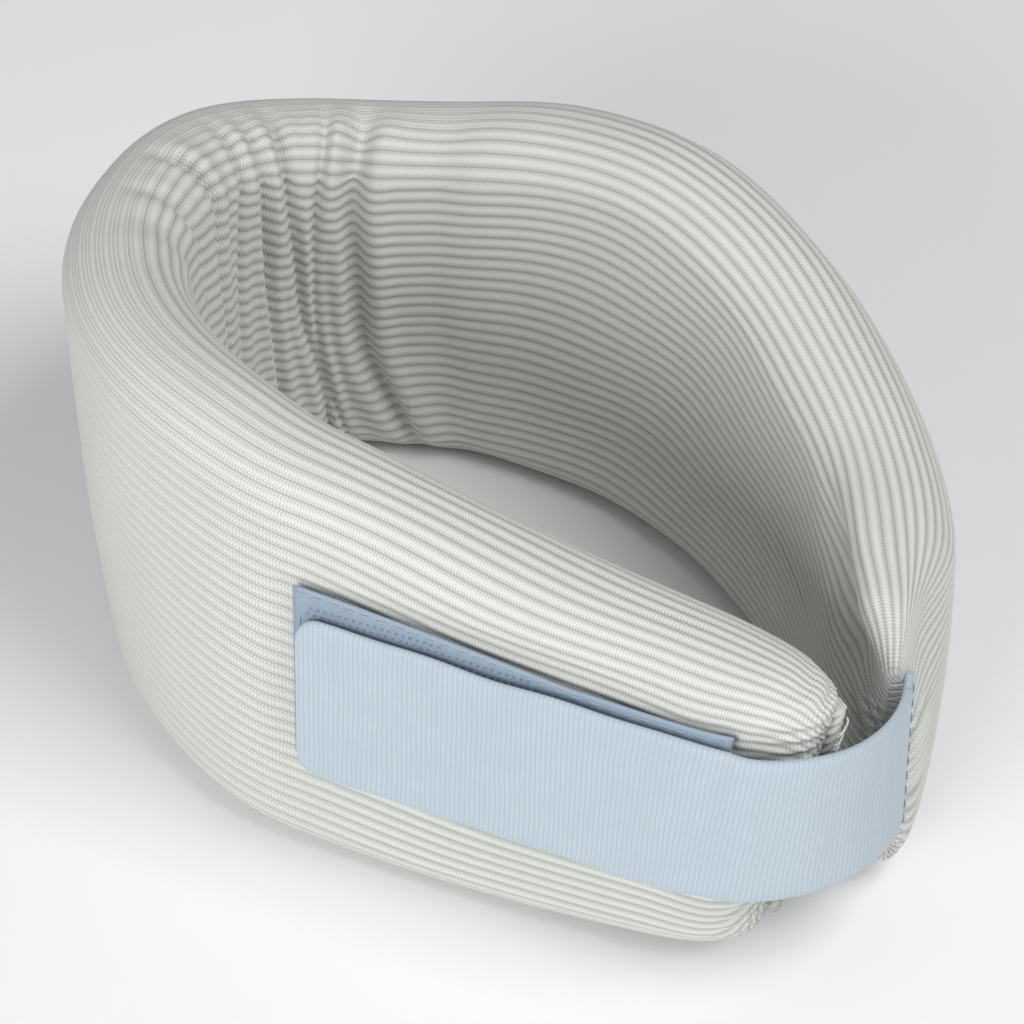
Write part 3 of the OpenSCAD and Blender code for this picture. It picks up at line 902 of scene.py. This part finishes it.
relief = add(tree, "ShaderNodeBump", {"Strength": 0.25, "Distance": 0.0001},
             Height=height.outputs[0])
tree.links.new(rib_tint.outputs[2], shader.inputs["Base Color"])
tree.links.new(relief.outputs[0], shader.inputs["Normal"])
shader.inputs["Roughness"].default_value = 0.95
shader.inputs["Specular IOR Level"].default_value = 0.1
shader.inputs["Sheen Weight"].default_value = 0.25
shader.inputs["Sheen Roughness"].default_value = 0.6

strap_rows = np.concatenate([np.linspace(0, strap_len - corner_r, 150)[:-1],
                             strap_len - corner_r * np.linspace(1, 0.02, 16) ** 1.6])
from_end = np.minimum(strap_len - strap_rows, corner_r)
corner = corner_r - np.sqrt(corner_r ** 2 - (corner_r - from_end) ** 2)
edge_wave = 0.25 * MM * np.sin(strap_rows / (9 * MM)) + 0.2 * MM * np.sin(strap_rows / (4 * MM))
webbing = band_mesh("strap_webbing", strap_rows, lambda q, z: strap_face(q, z, 0.0),
                    lambda q, z: strap_face(q, z, strap_t),
                    strap_z + corner + root_trim * np.clip(1 - strap_rows / cross_len, 0, 1),
                    strap_z + strap_w - corner + edge_wave, 24, loop_pile, 0.8 * MM)
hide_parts("strap_band")
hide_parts("strap_tip")
peel = 62 * MM
peel_path = cross_len + peel - crossing_s
peel_spot = strap_face(peel_path, np.array([mid_z]), 0.0)[0]
tip_way = Vector(strap_face(peel_path + 1 * MM, np.array([mid_z]), 0.0)[0] - peel_spot)
tip_way.normalize()
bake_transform(webbing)

# ---- Strap root ------------------------------------------------------------
# The strap's last 3 mm, sewn flat into the far seam with two rows of short
# stitches in its own colour.
root_count = 8
root_rows = np.linspace(root_in - 1.5 * MM, root_in + root_len, root_count)


def root_face(path, z, off):
    """Points on the root at path metres out from the far seam."""
    base = far_point + far_way * path + far_side * (root_out + off - strap_t / 2)
    return np.stack([base[0] + 0 * z, base[1] + 0 * z, z - root_drop], -1)


root = band_mesh("strap_root_webbing", root_rows, lambda q, z: root_face(q, z, 0.0),
                 lambda q, z: root_face(q, z, strap_t), [strap_z + root_trim] * root_count,
                 [strap_z + strap_w] * root_count, 24, loop_pile, 0.8 * MM)
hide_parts("strap_root")
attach(root, "collar")
unit = tube("root_stitch", [(-1.2 * MM * math.cos(b), 0, 0.2 * MM * math.sin(b)) for b in bow],
            0.18 * MM, 6, 0.5)
z = np.arange(strap_z + 1.6 * MM, strap_z + strap_w - 1 * MM, 4 * MM)
both_faces = [root_face(root_in + root_len * 0.55, z, o) for o in (0.0, strap_t)]
count = len(z)
root_sewing = repeat("strap_root_stitches", unit, np.vstack(both_faces),
                     [-far_side] * count + [far_side] * count, [(0, 0, 1)] * 2 * count,
                     thread, (0.08, 0.1), 21)
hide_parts("strap_root_thread")
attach(root_sewing, "collar")
